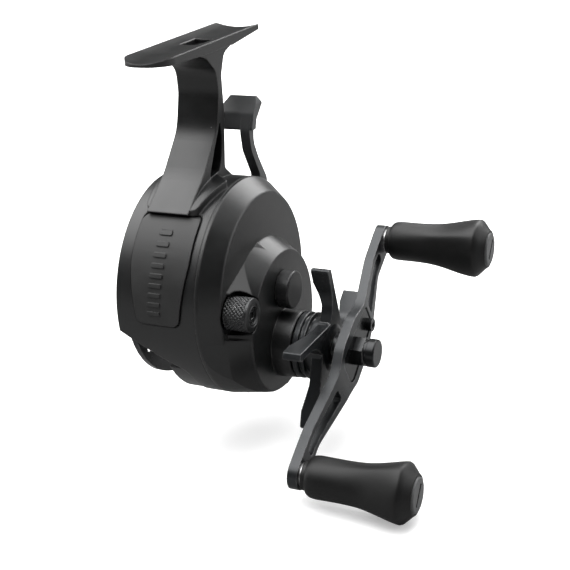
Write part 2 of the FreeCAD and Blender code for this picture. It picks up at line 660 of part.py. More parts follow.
def make_side_cover():
    """The cover over the gears, with the drive neck, the cap seat and the dial well."""
    flat_radius = sheet_size("cover_flat_radius")
    disc = new_body("CoverDisc")
    revolve(disc, [(seam, 0), (cover_flat, 0), (cover_flat, flat_radius, 1.0),
                   (seam + 0.8, drum_radius, 0.6), (seam, drum_radius)])
    turret = cone(cover_flat - 1, gearbox_flat, gearbox_radius + TURRET_FLARE, gearbox_radius,
                  gearbox_axis)
    # Low down, the cover leans straight from the seam to a crease round the gearbox.
    crease_x = gearbox_flat - CREASE_BEVEL
    lean = doc.addObject("Part::Loft", "Lean")
    lean.Sections = [circle(seam - 0.5, drum_radius + 0.7),
                     circle(crease_x, gearbox_radius + CREASE_BEVEL, gearbox_axis)]
    lean.Solid = True
    lean.Ruled = True
    bevel = cone(crease_x, gearbox_flat, gearbox_radius + CREASE_BEVEL, gearbox_radius - 0.2,
                 gearbox_axis)
    below = prism([(-40.0, -2.4), (-20.0, -7.9), (0.0, -11.0), (20.0, -7.9), (40.0, -2.4),
                   (40.0, -40.0), (-40.0, -40.0)], seam + 0.8, gearbox_flat)
    # Nothing raised on the cover stands outside the drum.
    limit = cone(seam, neck_end + 1, drum_radius + 0.15, drum_radius - 2.5)
    lower_body = overlap(join(lean, bevel), overlap(below, limit))
    neck = new_body("Neck")
    revolve(neck, [(cover_flat, 0), (neck_end, 0), (neck_end, neck_radius, 0.4),
                   (gearbox_flat, neck_radius + 0.3), (cover_flat, neck_radius + 0.3)])
    place(neck, drive_origin)
    outside = join(disc, lower_body, overlap(turret, limit), gearbox_shoulder(), neck)
    hollow = new_body("CoverHollow")
    revolve(hollow, [(seam - 1, 0), (cover_flat - cover_wall, 0),
                     (cover_flat - cover_wall, flat_radius - cover_wall, 1.0),
                     (seam + 0.8, drum_inside), (seam - 1, drum_inside)])
    gearbox_hollow = cylinder(seam, gearbox_flat - cover_wall, GEARBOX_INSIDE_RADIUS, gearbox_axis)
    solid = cut(outside, hollow, gearbox_hollow)
    bearing_boss = cylinder(OUTER_BEARING_NEAR - 0.6, gearbox_flat, BEARING_RADIUS + 2.4)
    cap_boss = cylinder(gearbox_flat - 0.5, gearbox_flat + CAP_BOSS_HEIGHT, CAP_BOSS_RADIUS)
    neck_tube = overlap(cylinder(ONE_WAY_NEAR - 0.2, neck_end, NECK_BORE + 1.6, drive_axis),
                        cylinder(seam, neck_end, drum_radius))
    dial_wall = overlap(cylinder(DIAL_WELL_FLOOR - 1.8, gearbox_flat - 1.0, dial_radius + 2.5, dial_axis),
                        join(cylinder(seam, cover_flat, flat_radius - 0.3), gearbox_shoulder()))
    posts = []
    for angle in SCREW_ANGLES:
        posts.append(cylinder(POST_NEAR, cover_flat - 1.9, POST_RADIUS, polar(SCREW_CIRCLE, angle)))
    pivot_post = cylinder(TRIGGER_POST_NEAR, cover_flat - 1.0, 2.2, trigger_axis)
    sockets = [cylinder(GUIDE_FAR - 1.6, gearbox_flat - 1.5, COVER_SOCKET_RADIUS, axis)
               for axis in guide_axes]
    extras = overlap(join(*posts, pivot_post), cylinder(POST_NEAR, cover_flat, drum_inside - 0.15))
    solid = join(solid, bearing_boss, cap_boss, neck_tube, dial_wall, extras, *sockets)
    outer_end = neck_end + 1
    bores = [
        cylinder(OUTER_BEARING_NEAR - 1.6, outer_end, BEARING_RADIUS - 1),
        cylinder(OUTER_BEARING_NEAR, outer_end, BEARING_RADIUS),
        cylinder(ONE_WAY_NEAR - 0.6, outer_end, NECK_BORE, drive_axis),
        cylinder(DIAL_WELL_FLOOR, outer_end, dial_radius + 1.3, dial_axis),
        cylinder(seam - 1, outer_end, PLUNGER_RADIUS + 0.1, dial_axis),
        cylinder(TRIGGER_POST_NEAR - 0.2, 15.0, TRIGGER_PIN_RADIUS, trigger_axis),
        # Room for the gear's rim, for the yoke's blade and for the yoke's tab over their travel.
        cylinder(seam - 1, 15.0, gear_module * wheel_teeth / 2 + gear_module + 0.3, drive_axis),
        box((16.0, -13.6, -4.0), (19.2, 13.6, 8.6)),
        prism([(3.0, 5.0), (9.5, 4.0), (14.6, 18.9, 1.0), (10.6, 21.4, 1.0)], 16.0, 17.7),
    ]
    bores += [cylinder(GUIDE_FAR - 1.8, GUIDE_FAR + 0.2, GUIDE_HOLE_RADIUS, axis) for axis in guide_axes]
    for angle in SCREW_ANGLES:
        bores.append(cylinder(POST_NEAR - 0.5, 15.0, SCREW_CORE, polar(SCREW_CIRCLE, angle)))
    return finish(cut(solid, *bores), "side_cover")


make_side_cover()

# ---------------------------------------------------------------------------------------------
# Spool and its shaft
# ---------------------------------------------------------------------------------------------

SPOOL_RIM = 1.6
SPOOL_PORTS = 10
SPOOL_WEB_PORTS = 6
DRIVE_PIN_X = 11.4
DRIVE_PIN_RADIUS = 0.6
DRIVE_PIN_HALF = 3.6
SPOOL_SHAFT_END = 25.4
TENSION_DISC_NEAR = 25.5
TENSION_DISC_FAR = 26.0
CAP_THREAD_RADIUS = 3.95


def make_spool():
    """The line spool: two thin flanges on a large hollow arbor, with ported flanges."""
    far = sheet_size("spool_far")
    near = sheet_size("spool_near")
    flange = sheet_size("spool_flange_radius")
    arbor = sheet_size("arbor_radius")
    spool = new_body("Spool")
    revolve(spool, [
        (far + 2.0, spool_shaft_radius), (near - 0.4, spool_shaft_radius), (near - 0.4, 7.0, 1.0),
        (near - 1.6, arbor - 2.5, 1.0), (near, flange - 1.0), (near, flange), (near - SPOOL_RIM, flange),
        (near - 1.6, arbor, 1.0), (far + 1.6, arbor, 1.0), (far + SPOOL_RIM, flange), (far, flange),
        (far, flange - 1.0), (far + 1.6, arbor - 1.6, 1.0), (near - 3.2, arbor - 1.6, 1.0),
        (near - 4.0, 7.0, 1.0), (far + 2.0, 5.0, 0.6)])

    def port(sketch):
        draw_circle(sketch, ((arbor + flange) / 2, 0), 2.6)
    hole = pocket(spool, port, far - 1, near + 1)
    polar_copies(spool, hole, SPOOL_PORTS)

    def web_port(sketch):
        draw_circle(sketch, ((arbor + 6.0) / 2, 0), 3.0)
    web_hole = pocket(spool, web_port, far - 1, near + 1)
    polar_copies(spool, web_hole, SPOOL_WEB_PORTS)
    return finish(spool, "spool")


def make_spool_shaft():
    """The shaft that the spool is pressed on, with a collar at its outer end."""
    shaft = new_body("SpoolShaft")
    end = sheet_size("spool_far") + 1.4
    revolve(shaft, [
        (end, 0), (SPOOL_SHAFT_END, 0), (SPOOL_SHAFT_END, spool_shaft_radius - gap - 0.3),
        (SPOOL_SHAFT_END - 0.3, spool_shaft_radius - gap),
        (sheet_size("spool_near"), spool_shaft_radius - gap),
        (sheet_size("spool_near"), spool_shaft_radius), (end + 0.6, spool_shaft_radius),
        (end + 0.6, 3.2), (end, 3.2)])
    pocket(shaft, lambda sketch: draw_circle(sketch, (DRIVE_PIN_X, 0), DRIVE_PIN_RADIUS),
           -DRIVE_PIN_HALF, DRIVE_PIN_HALF, "XY_Plane")

    def coin_slot(sketch):
        draw_outline(sketch, [(-4.0, -0.4), (4.0, -0.4), (4.0, 0.4), (-4.0, 0.4)])
    pocket(shaft, coin_slot, end - 1, end + 0.5)
    place(shaft, (0, 0, 0), half_tooth)
    return finish(shaft, "spool_shaft")


def make_spool_drive_pin():
    """The cross pin through the spool shaft, which the pinion's slot takes hold of."""
    pin = doc.addObject("Part::Cylinder", "DrivePin")
    bind(pin, "Radius", DRIVE_PIN_RADIUS)
    bind(pin, "Height", 2 * DRIVE_PIN_HALF)
    ahead, up = polar(DRIVE_PIN_HALF, half_tooth.number - 90.0)
    place(pin, (DRIVE_PIN_X, ahead, up), half_tooth)
    return finish(pin, "spool_drive_pin")


def bearing_profile(near, far, inner, outer):
    """A shielded ball bearing: two races with a sunk shield between them."""
    race = (float(size(outer)) - float(size(inner))) * 0.28
    return [(near, inner), (far, inner), (far, inner + race), (far - 0.25, inner + race),
            (far - 0.25, outer - race), (far, outer - race), (far, outer), (near, outer),
            (near, outer - race), (near + 0.25, outer - race), (near + 0.25, inner + race),
            (near, inner + race)]


make_spool()
make_spool_shaft()
make_spool_drive_pin()
turned("spool_bearing_inner",
       bearing_profile(INNER_BEARING_NEAR, INNER_BEARING_FAR, spool_shaft_radius, BEARING_RADIUS))
turned("spool_bearing_outer",
       bearing_profile(OUTER_BEARING_NEAR, OUTER_BEARING_FAR, spool_shaft_radius, BEARING_RADIUS))
turned("tension_disc", disc_profile(TENSION_DISC_NEAR, TENSION_DISC_FAR, 2.7))


def make_tension_cap():
    """The smooth cap over the end of the spool shaft, screwed into the cover's boss."""
    cap = new_body("TensionCap")
    inside = TENSION_DISC_FAR + 0.1
    boss_end = gearbox_flat + CAP_BOSS_HEIGHT + 0.1
    thread_end = OUTER_BEARING_FAR + 0.1
    revolve(cap, [(inside, 0), (cap_face, 0), (cap_face, cap_radius, 0.5),
                  (gearbox_flat + 0.15, cap_radius), (gearbox_flat + 0.15, CAP_BOSS_RADIUS + 0.1),
                  (boss_end, CAP_BOSS_RADIUS + 0.1), (boss_end, CAP_THREAD_RADIUS),
                  (thread_end, CAP_THREAD_RADIUS), (thread_end, 2.9), (inside, 2.9)])
    return finish(cap, "tension_cap")


make_tension_cap()

# ---------------------------------------------------------------------------------------------
# Gears and clutch
# ---------------------------------------------------------------------------------------------

PRESSURE_ANGLE = 20.0
GEAR_DISH = 1.2
DRAG_PLATE_RADIUS = 9.0
PINION_NEAR = 10.7
PINION_TEETH_FAR = 15.9
PINION_GROOVE_FAR = 17.1
PINION_FAR = 18.1
PINION_GROOVE_RADIUS = 3.1
PINION_COLLAR_RADIUS = 4.6
YOKE_NEAR = 16.2
YOKE_FAR = 16.9
TAB_NEAR = 15.2


def involute(angle):
    return math.tan(angle) - angle


def tooth_gap(teeth):
    """The space between two teeth, symmetric about the +Y axis, as (y, z) corners."""
    pitch_radius = gear_module * teeth / 2
    pressure = math.radians(PRESSURE_ANGLE)
    base_radius = pitch_radius * math.cos(pressure)
    root_radius = pitch_radius - gear_module * 1.25
    tip_radius = pitch_radius + gear_module
    half_tooth_at_pitch = math.pi / (2 * teeth.number)

    def flank(radius):
        reach = max(base_radius.number / radius.number, 0.0)
        local = math.acos(min(reach, 1.0))
        half_tooth = half_tooth_at_pitch + involute(pressure) - involute(local)
        return math.degrees(math.pi / teeth.number - half_tooth)
    start = base_radius if base_radius.number > root_radius.number else root_radius
    middle = (pitch_radius + start) / 2
    outer = tip_radius + gear_module * 0.4
    upper = [(root_radius, flank(start)), (middle, flank(middle)), (pitch_radius, flank(pitch_radius)),
             (outer, flank(outer))]
    corners = [polar(radius, -angle) for radius, angle in upper[::-1]]
    corners += [polar(radius, angle) for radius, angle in upper]
    return corners


def cut_teeth(body, teeth, near, far):
    """Cut all the tooth gaps of a spur gear into a round blank."""
    gap_cut = pocket(body, lambda sketch: draw_outline(sketch, tooth_gap(teeth)), near, far)
    return polar_copies(body, gap_cut, int(teeth.number))


def make_drive_gear():
    """The large gear, dished on its outer side for the drag stack."""
    wheel = new_body("DriveGear")
    tip = gear_module * wheel_teeth / 2 + gear_module
    bore = shaft_radius + gap
    dish_floor = gear_far - GEAR_DISH
    dish_radius = DRAG_PLATE_RADIUS + 0.2
    revolve(wheel, [(gear_near, bore), (dish_floor, bore), (dish_floor, dish_radius),
                    (gear_far, dish_radius), (gear_far, tip), (gear_near, tip)])
    cut_teeth(wheel, wheel_teeth, gear_near - 0.1, gear_far + 0.1)
    place(wheel, drive_origin)
    return finish(wheel, "drive_gear")


def make_pinion():
    """The pinion: teeth, a yoke groove, and a slot in its end that takes the drive pin."""
    pinion = new_body("Pinion")
    tip = gear_module * pinion_teeth / 2 + gear_module
    bore = spool_shaft_radius + gap
    revolve(pinion, [(PINION_NEAR, bore), (PINION_FAR, bore), (PINION_FAR, PINION_COLLAR_RADIUS),
                     (PINION_GROOVE_FAR, PINION_COLLAR_RADIUS),
                     (PINION_GROOVE_FAR, PINION_GROOVE_RADIUS),
                     (PINION_TEETH_FAR, PINION_GROOVE_RADIUS), (PINION_TEETH_FAR, tip),
                     (PINION_NEAR, tip)])
    cut_teeth(pinion, pinion_teeth, PINION_NEAR - 0.1, PINION_TEETH_FAR + 0.1)

    def slot(sketch):
        draw_outline(sketch, [(-0.7, -7.0), (0.7, -7.0), (0.7, 7.0), (-0.7, 7.0)])
    pocket(pinion, slot, PINION_NEAR - 0.7, DRIVE_PIN_X + DRIVE_PIN_RADIUS + 0.1)
    place(pinion, (0, 0, 0), half_tooth)
    return finish(pinion, "pinion")


def make_clutch_yoke():
    """The flat fork that rides in the pinion's groove and slides on two posts."""
    blade = prism([(-13.0, -0.4, 1.0), (-6.6, -0.4), (-5.6, -3.2, 1.0), (-3.6, -3.2, 0.5),
                   (-3.6, 4.0, 3.4), (3.6, 4.0, 3.4), (3.6, -3.2, 0.5), (5.6, -3.2, 1.0),
                   (6.6, -0.4), (13.0, -0.4, 1.0), (13.0, 6.0, 2.0), (8.0, 8.0, 2.0),
                   (-8.0, 8.0, 2.0), (-13.0, 6.0, 2.0)], YOKE_NEAR, YOKE_FAR)
    collar_near = YOKE_NEAR - 1.6
    collars = [cylinder(collar_near, YOKE_FAR, 1.9, axis) for axis in guide_axes]
    # The tab under the trigger's nose stands one step nearer than the blade.
    step = prism([(4.6, 4.8), (8.4, 4.0), (8.8, 7.4), (5.0, 7.8)], TAB_NEAR, YOKE_FAR)
    tab = prism([(4.6, 4.8), (8.4, 4.0), (13.6, 19.2, 1.0), (10.8, 20.6, 1.0)], TAB_NEAR,
                TAB_NEAR + 0.7)
    holes = [cylinder(collar_near - 1, YOKE_FAR + 1, GUIDE_RADIUS + 0.07, axis) for axis in guide_axes]
    return finish(cut(join(blade, step, tab, *collars), *holes), "clutch_yoke")


def make_yoke_posts():
    """Two plain posts between frame and cover that guide the yoke."""
    posts = [cylinder(GUIDE_NEAR, GUIDE_FAR, GUIDE_RADIUS, axis) for axis in guide_axes]
    return group("yoke_guide_posts", posts)


def coil_spring(radius, wire, length, turns, near, at):
    """A compression spring along X: a round wire swept along a helix, in half turns."""
    helix = doc.addObject("Part::Helix", "SpringHelix")
    helix.Pitch = length / turns
    helix.Height = length
    helix.Radius = radius
    helix.SegmentLength = 0.5
    half_turns = [f"Edge{index + 1}" for index in range(2 * turns)]
    section = doc.addObject("Part::Circle", "SpringWire")
    section.Radius = wire
    section.Placement = FreeCAD.Placement(
        FreeCAD.Vector(radius, 0, 0), FreeCAD.Rotation(FreeCAD.Vector(1, 0, 0), 90))
    coil = doc.addObject("Part::Sweep", "Spring")
    coil.Sections = [section]
    coil.Spine = (helix, half_turns)
    coil.Solid = True
    coil.Frenet = True
    coil.Placement = FreeCAD.Placement(
        FreeCAD.Vector(0, 0, 0), FreeCAD.Rotation(FreeCAD.Vector(0, 1, 0), 90))
    for axis, value in zip("xyz", (near, at[0], at[1])):
        bind(coil, f"Placement.Base.{axis}", value)
    return coil


make_drive_gear()
make_pinion()
make_clutch_yoke()
make_yoke_posts()
group("yoke_springs", [coil_spring(radius=1.35, wire=0.2, length=1.5, turns=2, near=17.35, at=axis)
                       for axis in guide_axes])

# ---------------------------------------------------------------------------------------------
# Drive shaft and drag
# ---------------------------------------------------------------------------------------------

SHAFT_FLANGE_NEAR = 9.7
SHAFT_FLANGE_FAR = 10.7
SHAFT_FLANGE_RADIUS = 7.0
SHAFT_TIP = 49.6
SLEEVE_NEAR = 15.3
SLEEVE_FAR = 31.2
SLEEVE_RADIUS = 4.0
ONE_WAY_FAR = 25.6
NECK_BEARING_NEAR = 26.0
NECK_BEARING_FAR = 30.0
CONE_WASHER_THICKNESS = 0.4
CONE_WASHER_RISE = 0.35
CONE_WASHER_RADIUS = 6.6
NUT_THREAD_RADIUS = 2.5
RECESS_DEPTH = 1.0
STAR_ARMS = 5
STAR_TURN = 18.0
washer_near = gear_far - GEAR_DISH
plate_near = washer_near + 0.8


def make_drive_shaft():
    """The drive shaft: pivot end, gear flange, plain middle and threaded outer end."""
    shaft = new_body("DriveShaft")
    revolve(shaft, [
        (BUSH_NEAR + 0.2, 0), (SHAFT_TIP, 0), (SHAFT_TIP, NUT_THREAD_RADIUS - 0.3),
        (SHAFT_TIP - 0.3, NUT_THREAD_RADIUS), (crank_hub_far, NUT_THREAD_RADIUS),
        (crank_hub_far, shaft_radius), (SHAFT_FLANGE_FAR, shaft_radius),
        (SHAFT_FLANGE_FAR, SHAFT_FLANGE_RADIUS), (SHAFT_FLANGE_NEAR, SHAFT_FLANGE_RADIUS),
        (SHAFT_FLANGE_NEAR, BUSH_BORE), (BUSH_NEAR + 0.2, BUSH_BORE)])
    place(shaft, drive_origin)
    return finish(shaft, "drive_shaft")


make_drive_shaft()
turned("drive_shaft_bush", ring_profile(BUSH_NEAR, BUSH_FAR, BUSH_BORE + gap, BUSH_RADIUS),
       drive_origin)
turned("drag_washer_inner",
       ring_profile(SHAFT_FLANGE_FAR, gear_near, shaft_radius + gap, DRAG_PLATE_RADIUS), drive_origin)
turned("drag_washer_outer",
       ring_profile(washer_near, plate_near, shaft_radius + gap, DRAG_PLATE_RADIUS), drive_origin)
turned("drag_pressure_plate",
       ring_profile(plate_near, SLEEVE_NEAR, shaft_radius + gap, DRAG_PLATE_RADIUS, 0.3), drive_origin)
turned("clutch_sleeve",
       ring_profile(SLEEVE_NEAR, SLEEVE_FAR, shaft_radius + gap, SLEEVE_RADIUS, 0.3), drive_origin)
turned("one_way_bearing",
       bearing_profile(ONE_WAY_NEAR, ONE_WAY_FAR, SLEEVE_RADIUS + gap, NECK_BORE), drive_origin)
turned("drive_bearing_outer",
       bearing_profile(NECK_BEARING_NEAR, NECK_BEARING_FAR, SLEEVE_RADIUS + gap, NECK_BORE),
       drive_origin)


def make_drag_springs():
    """Two cone washers, back to back, that load the drag."""
    washers = []
    first_near = SLEEVE_FAR + 0.05
    second_near = first_near + 0.8
    bore = shaft_radius + 0.1
    for near, bore_rise, rim_rise in ((first_near, CONE_WASHER_RISE, 0.0),
                                      (second_near, 0.0, CONE_WASHER_RISE)):
        washer = new_body("ConeWasher")
        revolve(washer, [(near + bore_rise, bore), (near + bore_rise + CONE_WASHER_THICKNESS, bore),
                         (near + rim_rise + CONE_WASHER_THICKNESS, CONE_WASHER_RADIUS),
                         (near + rim_rise, CONE_WASHER_RADIUS)])
        place(washer, drive_origin)
        washers.append(washer)
    return group("drag_spring_washers", washers)


make_drag_springs()


def make_star():
    """The star wheel: a ringed collar and five swept arms, each tangent to the hub."""
    star_hub = sheet_size("star_hub_radius")
    reach = sheet_size("star_radius")
    star = new_body("StarDrag")
    bore = shaft_radius + gap
    collar_near = neck_end + 0.4
    collar = neck_radius - 0.1
    ring_floor = collar - 1.1
    revolve(star, [
        (collar_near, 7.2), (33.0, 7.2), (33.0, bore), (star_far + 0.5, bore),
        (star_far + 0.5, 6.0, 0.5), (star_far - 0.6, star_hub, 0.4), (35.0, star_hub),
        (35.0, collar, 0.5), (33.6, collar, 0.3), (33.6, ring_floor), (32.4, ring_floor),
        (32.4, collar, 0.3), (collar_near, collar, 0.3)])

    def arm(sketch):
        draw_outline(sketch, [(0, -star_hub), (reach - 0.3, -0.6, 0.6), (reach + 0.1, 1.9, 0.7),
                              (13.6, -1.6, 9.0), (7.0, 2.0), (4.6, 0)])
    blade = pad(star, arm, star_near, star_far)
    polar_copies(star, blade, STAR_ARMS)
    # Each arm is waisted on its inner side, close to the hub.
    waist = groove(star, [(star_near - 0.2, star_hub), (star_near + 1.9, star_hub),
                          (star_near + 1.9, 13.0, 3.0), (star_near, 20.0, 3.0),
                          (star_near - 0.2, 21.0)])
    star.Tip = waist
    place(star, drive_origin, STAR_TURN)
    return finish(star, "star_drag")


make_star()

# ---------------------------------------------------------------------------------------------
# Crank and knobs
# ---------------------------------------------------------------------------------------------

HUB_HALF = 9.0
SPINDLE_RADIUS = 2.0
END_HALF = 4.4
BEND_START = 13.0
BEND_END = 30.0
BEND_RADIUS = 20.0
SLOT_START = 15.0
SLOT_END = 35.0
RETAINER_THICKNESS = 0.7
NUT_FLATS = 8.0
NUT_FACE = 50.2
NUT_CAP_FAR = 53.6
NUT_CAP_RADIUS = 4.15
retainer_screw_axis = (11.0, -2.2)
turned("crank_spacer", ring_profile(star_far + 0.8, crank_hub_near, shaft_radius, 5.0, 0.4),
       drive_origin)


def make_crank():
    """The two-armed crank: a wide hub, dropped arms, a slot in each arm, a recess for the plate."""
    quarter = [(crank_reach + END_HALF, END_HALF, END_HALF - 0.1), (30.0, 3.9, 20.0), (12.0, 6.0, 20.0),
               (5.0, HUB_HALF, 8.0)]
    upper = quarter + [(-size(corner[0]), corner[1], corner[2]) for corner in quarter[::-1]]
    lower = [(-size(corner[0]), -size(corner[1]), corner[2]) for corner in upper]
    plan = prism(upper + lower, crank_end_near - 1, crank_hub_far + 1)
    far_end = crank_reach + END_HALF + 1
    near_side = [(crank_end_near, -far_end), (crank_end_near, -BEND_END, BEND_RADIUS),
                 (crank_hub_near, -BEND_START, BEND_RADIUS), (crank_hub_near, BEND_START, BEND_RADIUS),
                 (crank_end_near, BEND_END, BEND_RADIUS), (crank_end_near, far_end)]
    far_side = [(crank_end_far, far_end), (crank_end_far, BEND_END, BEND_RADIUS),
                (crank_hub_far, BEND_START, BEND_RADIUS), (crank_hub_far, -BEND_START, BEND_RADIUS),
                (crank_end_far, -BEND_END, BEND_RADIUS), (crank_end_far, -far_end)]
    side = prism(near_side + far_side, -HUB_HALF - 1, HUB_HALF + 1, "z")
    arm_blank = overlap(plan, side)
    slots = []
    for way in (1.0, -1.0):
        slots.append(prism([(way * SLOT_START, 2.6, 1.2), (way * SLOT_START, -2.6, 1.2),
                            (way * SLOT_END, -1.9, 1.6), (way * SLOT_END, 1.9, 1.6)],
                           crank_end_near - 2, crank_hub_far + 2))
    recess = prism([(13.4, 4.4, 2.0), (13.4, -4.4, 2.0), (-8.4, -6.4, 3.0), (-8.4, 6.4, 3.0)],
                   crank_hub_far - RECESS_DEPTH, crank_hub_far + 1)
    bores = [cylinder(crank_end_near - 1, crank_hub_far + 1, shaft_radius),
             cylinder(crank_hub_near - 1, crank_hub_far, 0.8, retainer_screw_axis)]
    for way in (1.0, -1.0):
        bores.append(cylinder(crank_end_near - 1, crank_end_far + 1, SPINDLE_RADIUS,
                              (crank_reach * way, 0)))
    crank = cut(arm_blank, *slots, recess, *bores)
    place(crank, drive_origin, crank_turn)
    return finish(crank, "crank_arm")


def hexagon(across_flats):
    corner_radius = size(across_flats) / math.sqrt(3.0)
    return [polar(corner_radius, 60.0 * index) for index in range(6)]


def make_retainer_plate():
    """The thin plate that locks the nut: a hexagonal hole and a screw hole in one ear."""
    near = crank_hub_far - RECESS_DEPTH
    blank = prism([(13.0, 4.0, 1.8), (13.0, -4.0, 1.8), (-8.0, -6.0, 2.8), (-8.0, 6.0, 2.8)],
                  near, near + RETAINER_THICKNESS)
    nut_hole = prism(hexagon(NUT_FLATS + 0.1), near - 1, near + 2)
    screw_hole = cylinder(near - 1, near + 2, 0.9, retainer_screw_axis)
    plate = cut(blank, nut_hole, screw_hole)
    place(plate, drive_origin, crank_turn)
    return finish(plate, "retainer_plate")


def make_retainer_screw():
    """The small screw that holds the plate."""
    near = crank_hub_far - RECESS_DEPTH + RETAINER_THICKNESS
    head = cylinder(near, near + 1.7, 1.9, retainer_screw_axis)
    shank = cylinder(crank_hub_near + 0.2, near, 0.75, retainer_screw_axis)
    drive = cylinder(near + 0.9, near + 3.0, 0.95, retainer_screw_axis)
    screw = cut(join(head, shank), drive)
    place(screw, drive_origin, crank_turn)
    return finish(screw, "retainer_screw")


def make_crank_nut():
    """The crank nut: a hexagon, a groove and a round cap."""
    near = crank_hub_far - RECESS_DEPTH
    nut = new_body("CrankNut")
    pad(nut, lambda sketch: draw_outline(sketch, hexagon(NUT_FLATS)), near, NUT_FACE)
    cap_near, cap_groove = NUT_FACE + 0.8, NUT_CAP_RADIUS - 0.45
    revolve(nut, [(NUT_FACE - 0.2, 0), (NUT_CAP_FAR, 0), (NUT_CAP_FAR, NUT_CAP_RADIUS, 0.5),
                  (cap_near, NUT_CAP_RADIUS, 0.2), (cap_near, cap_groove), (NUT_FACE - 0.2, cap_groove)])
    pocket(nut, lambda sketch: draw_circle(sketch, (0, 0), NUT_THREAD_RADIUS), crank_hub_far,
           SHAFT_TIP + 0.3)
    pocket(nut, lambda sketch: draw_circle(sketch, (0, 0), shaft_radius), near - 1, crank_hub_far)
    place(nut, drive_origin, crank_turn)
    return finish(nut, "crank_nut")


make_crank()
make_retainer_plate()
make_retainer_screw()
make_crank_nut()

knob_near = crank_end_far + 0.9
knob_far = crank_end_far + sheet_size("knob_length")
grip_radius = sheet_size("knob_grip_radius")
flare_radius = sheet_size("knob_flare_radius")
KNOB_BUSH_RADIUS = 3.4
KNOB_BUSH_LENGTH = 4.5
KNOB_CAP_RADIUS = 5.0
KNOB_CAP_TURN = 50.0
KNOB_WELL_RADIUS = 4.2
spindle_far = knob_far - 7.1


def make_knob(side, facing):
    """One handle knob with its spindle, bushes, screw and end cap."""
    ahead, up = polar(crank_reach, facing)
    at = (0, ahead, up + drive_up)
    end = knob_far - 2.0
    turned(f"knob_spindle_{side}", [
        (crank_end_near - 0.6, 0), (spindle_far, 0), (spindle_far, SPINDLE_RADIUS),
        (crank_end_far + 0.7, SPINDLE_RADIUS), (crank_end_far + 0.7, 3.3), (crank_end_far, 3.3),
        (crank_end_far, SPINDLE_RADIUS), (crank_end_near, SPINDLE_RADIUS), (crank_end_near, 3.0),
        (crank_end_near - 0.6, 2.6)], at)
    well_floor = spindle_far - 1.0
    turned(f"knob_grip_{side}", [
        (knob_near, KNOB_BUSH_RADIUS), (well_floor, KNOB_BUSH_RADIUS), (well_floor, KNOB_WELL_RADIUS),
        (end, KNOB_WELL_RADIUS), (end, KNOB_CAP_RADIUS + gap), (knob_far - 0.5, KNOB_CAP_RADIUS + gap),
        (knob_far - 0.5, KNOB_CAP_RADIUS + 0.5, 0.2), (knob_far - 4.2, flare_radius + 0.2, 1.6),
        (knob_far - 9.0, grip_radius + 1.3, 12.0), (knob_far - 15.0, grip_radius + 0.1, 20.0),
        (knob_near + 6.0, grip_radius, 20.0), (knob_near + 2.2, grip_radius - 0.1, 1.5),
        (knob_near + 1.2, KNOB_WELL_RADIUS, 0.3), (knob_near, KNOB_WELL_RADIUS)], at)
    bushes = []
    for near in (knob_near + 0.1, knob_far - 13.1):
        bush = new_body("KnobBush")
        revolve(bush, ring_profile(near, near + KNOB_BUSH_LENGTH, SPINDLE_RADIUS + gap, KNOB_BUSH_RADIUS))
        place(bush, at)
        bushes.append(bush)
    group(f"knob_bushes_{side}", bushes)
    turned(f"knob_screw_{side}", disc_profile(spindle_far, spindle_far + 1.6, 3.2, 0.3), at)
    cap = new_body("KnobCap")
    revolve(cap, [(knob_far - 4.4, 0), (knob_far, 0), (knob_far, KNOB_CAP_RADIUS, 0.7),
                  (end, KNOB_CAP_RADIUS), (end, KNOB_WELL_RADIUS), (knob_far - 4.4, KNOB_WELL_RADIUS)])

    def coin_slot(sketch):
        draw_outline(sketch, [(-3.2, -0.6), (3.2, -0.6), (3.2, 0.6), (-3.2, 0.6)])
    pocket(cap, coin_slot, knob_far - 1.2, knob_far + 1)
    place(cap, at, KNOB_CAP_TURN)
    finish(cap, f"knob_cap_{side}")


make_knob("upper", crank_turn.number)
make_knob("lower", crank_turn.number + 180.0)

# ---------------------------------------------------------------------------------------------
# Trigger
# ---------------------------------------------------------------------------------------------

PADDLE_NEAR = 1.8
PADDLE_FAR = 12.6


def make_trigger():
    """The trigger: a curved lever, a wide finger paddle and a cam nose towards the yoke."""
    near, far = sheet_size("trigger_near"), sheet_size("trigger_far")
    outline = [(16.8, 52.9, 0.5), (18.7, 50.4, 0.5), (13.9, 46.2, 3.0), (13.0, 40.0, 6.0),
               (15.6, 34.6, 8.0), (20.6, 26.8, 3.0), (18.8, 18.8, 2.5), (10.4, 17.4, 1.0),
               (10.6, 20.6, 1.0), (12.4, 24.4, 1.0), (16.2, 28.6, 2.0), (11.2, 37.6, 8.0), (10.4, 43.6, 3.0),
               (12.4, 48.4, 2.0)]
    lever = prism(outline, near, far)
    paddle_outline = [(16.8, 52.9, 0.5), (18.7, 50.4, 0.5), (14.2, 46.4, 2.0), (13.4, 43.6, 0.6),
                      (10.6, 43.6, 0.6), (12.4, 48.4, 2.0)]
    face = prism([(54.5, PADDLE_NEAR + 2.8), (50.4, PADDLE_NEAR, 2.0), (43.0, PADDLE_NEAR, 1.0),
                  (43.0, PADDLE_FAR, 1.0), (50.4, PADDLE_FAR, 2.0), (54.5, PADDLE_FAR - 1.7)],
                 5.0, 25.0, "y")
    paddle = overlap(prism(paddle_outline, PADDLE_NEAR, PADDLE_FAR), face)
    nose = cylinder(far - 0.5, 14.9, 1.0, (11.6, 18.9))
    hole = cylinder(near - 1, far + 1, TRIGGER_PIN_RADIUS + gap, trigger_axis)
    return finish(cut(join(lever, paddle, nose), hole), "trigger")


make_trigger()
finish(cylinder(web_near + 0.4, TRIGGER_POST_NEAR + 1.2, TRIGGER_PIN_RADIUS, trigger_axis), "trigger_pin")
finish(coil_spring(radius=2.55, wire=0.22, length=1.4, turns=2, near=12.5, at=trigger_axis),
       "trigger_spring")

# ---------------------------------------------------------------------------------------------
# Brake dial
# ---------------------------------------------------------------------------------------------

